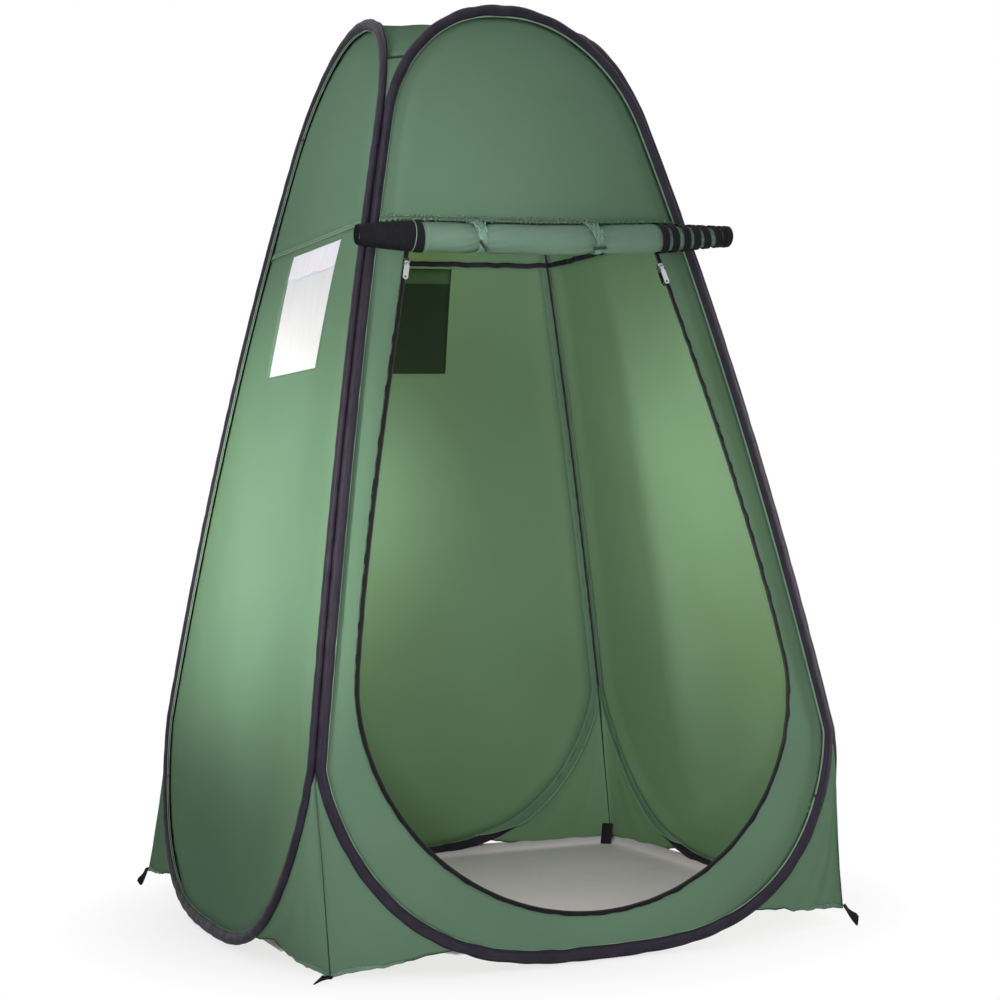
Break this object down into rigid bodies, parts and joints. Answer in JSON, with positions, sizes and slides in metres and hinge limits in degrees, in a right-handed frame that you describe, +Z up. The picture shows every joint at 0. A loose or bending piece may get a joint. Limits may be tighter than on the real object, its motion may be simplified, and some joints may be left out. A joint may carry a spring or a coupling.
{
  "type": "privacy shower tent",
  "caption": "Pop-up privacy shower tent with sprung hoop walls, a rolled-up zip door, mesh windows, corner gussets and peg loops.",
  "frame": {"origin": "on the ground under the middle of the tent", "axes": "+Z up, the doorway faces -Y, +X to the right of the doorway"},
  "size_m": [1.266, 1.266, 1.8995],
  "materials": {
    "green_fabric": "coated polyester with a soft sheen",
    "dark_green_fabric": "coated polyester",
    "black_binding": "satin binding tape",
    "white_mesh": "fine mesh",
    "grey_sheet": "matt coated sheet",
    "zip_tape": "woven zip tape with moulded teeth",
    "spring_wire": "spring steel",
    "ferrule_metal": "crimped tube",
    "toggle_plastic": "moulded",
    "zip_metal": "bright plated",
    "black_webbing": "woven webbing"
  },
  "bodies": {
    "tent": {"hoop_wire_front": "spring_wire", "hoop_wire_left": "spring_wire", "hoop_wire_rear": "spring_wire", "hoop_wire_right": "spring_wire", "hoop_ferrules": "ferrule_metal", "sleeve_front": "black_binding", "sleeve_left": "black_binding", "sleeve_rear": "black_binding", "sleeve_right": "black_binding", "upper_panel_front": "green_fabric", "upper_panel_left": "green_fabric", "upper_panel_rear": "green_fabric", "upper_panel_right": "green_fabric", "lower_panel_front": "green_fabric", "lower_panel_left": "green_fabric", "lower_panel_rear": "green_fabric", "lower_panel_right": "green_fabric", "roof_panel": "green_fabric", "top_gusset_front_left": "green_fabric", "top_gusset_front_right": "green_fabric", "top_gusset_rear_left": "green_fabric", "top_gusset_rear_right": "green_fabric", "base_gusset_front_left": "green_fabric", "base_gusset_front_right": "green_fabric", "base_gusset_rear_left": "green_fabric", "base_gusset_rear_right": "green_fabric", "ground_sheet": "grey_sheet", "seam_strap_front": "black_binding", "seam_strap_left": "black_binding", "seam_strap_rear": "black_binding", "seam_strap_right": "black_binding", "window_mesh_left": "white_mesh", "window_mesh_rear": "white_mesh", "door_zip": "zip_tape"},
    "door": {"door_roll": "green_fabric", "door_strip": "green_fabric", "door_wrap_left": "zip_tape", "door_wrap_right": "zip_tape", "tie_left": "green_fabric", "tie_right": "green_fabric"},
    "toggle_left": {"toggle_left": "toggle_plastic"},
    "toggle_right": {"toggle_right": "toggle_plastic"},
    "slider_left": {"zip_slider_left": "zip_metal"},
    "pull_left_outer": {"pull_left_outer": "zip_metal"},
    "pull_left_inner": {"pull_left_inner": "zip_metal"},
    "slider_right": {"zip_slider_right": "zip_metal"},
    "pull_right_outer": {"pull_right_outer": "zip_metal"},
    "pull_right_inner": {"pull_right_inner": "zip_metal"},
    "rear_flap": {"window_flap_rear": "dark_green_fabric"},
    "left_flap": {"window_flap_left": "dark_green_fabric", "window_flap_ties": "black_binding"},
    "stake_loop_front_left": {"stake_loop_front_left": "black_webbing"},
    "stake_loop_front_right": {"stake_loop_front_right": "black_webbing"},
    "stake_loop_rear_left": {"stake_loop_rear_left": "black_webbing"},
    "stake_loop_rear_right": {"stake_loop_rear_right": "black_webbing"}
  },
  "joints": [
    {"name": "door_roll_swing", "type": "hinge", "parent": "tent", "child": "door", "pos_m": [0, -0.3513, 1.4288], "axis": [-1, 0, 0], "range_deg": [0, 45]},
    {"name": "toggle_left_turn", "type": "hinge", "parent": "door", "child": "toggle_left", "pos_m": [-0.135, -0.42079, 1.3773], "axis": [0, -0.8191, -0.5736], "range_deg": [-40, 40]},
    {"name": "toggle_right_turn", "type": "hinge", "parent": "door", "child": "toggle_right", "pos_m": [0.117, -0.42079, 1.3773], "axis": [0, -0.8191, -0.5736], "range_deg": [-40, 40]},
    {"name": "zip_slider_left_run", "type": "slide", "parent": "tent", "child": "slider_left", "axis": [-0.2352, -0.2114, -0.9487], "range_m": [0, 0.18]},
    {"name": "pull_left_outer_swing", "type": "hinge", "parent": "slider_left", "child": "pull_left_outer", "pos_m": [-0.27797, -0.3745, 1.34901], "axis": [-0.972, 0.0511, 0.2295], "range_deg": [0, 90]},
    {"name": "pull_left_inner_swing", "type": "hinge", "parent": "slider_left", "child": "pull_left_inner", "pos_m": [-0.27797, -0.36181, 1.34618], "axis": [0.972, -0.0511, -0.2295], "range_deg": [0, 90]},
    {"name": "zip_slider_right_run", "type": "slide", "parent": "tent", "child": "slider_right", "axis": [0.2352, -0.2114, -0.9487], "range_m": [0, 0.18]},
    {"name": "pull_right_outer_swing", "type": "hinge", "parent": "slider_right", "child": "pull_right_outer", "pos_m": [0.27797, -0.3745, 1.34901], "axis": [-0.972, -0.0511, -0.2295], "range_deg": [0, 90]},
    {"name": "pull_right_inner_swing", "type": "hinge", "parent": "slider_right", "child": "pull_right_inner", "pos_m": [0.27797, -0.36181, 1.34618], "axis": [0.972, 0.0511, 0.2295], "range_deg": [0, 90]},
    {"name": "rear_flap_lift", "type": "hinge", "parent": "tent", "child": "rear_flap", "pos_m": [-0.074, 0.34962, 1.4188], "axis": [-1, 0, 0], "range_deg": [0, 80]},
    {"name": "left_flap_swing", "type": "hinge", "parent": "tent", "child": "left_flap", "pos_m": [-0.35062, -0.045, 1.4124], "axis": [0, -1, 0], "range_deg": [0, 40]},
    {"name": "stake_loop_front_left_lift", "type": "hinge", "parent": "tent", "child": "stake_loop_front_left", "pos_m": [-0.52872, -0.52872, 0.01], "axis": [-0.7071, 0.7071, 0], "range_deg": [0, 75]},
    {"name": "stake_loop_front_right_lift", "type": "hinge", "parent": "tent", "child": "stake_loop_front_right", "pos_m": [0.56672, -0.56672, 0.018], "axis": [-0.7071, -0.7071, 0], "range_deg": [0, 75]},
    {"name": "stake_loop_rear_left_lift", "type": "hinge", "parent": "tent", "child": "stake_loop_rear_left", "pos_m": [-0.60672, 0.60672, 0.018], "axis": [0.7071, 0.7071, 0], "range_deg": [0, 75]},
    {"name": "stake_loop_rear_right_lift", "type": "hinge", "parent": "tent", "child": "stake_loop_rear_right", "pos_m": [0.58328, 0.58328, 0.0095], "axis": [-0.7071, 0.7071, 0], "range_deg": [0, 30]}
  ]
}
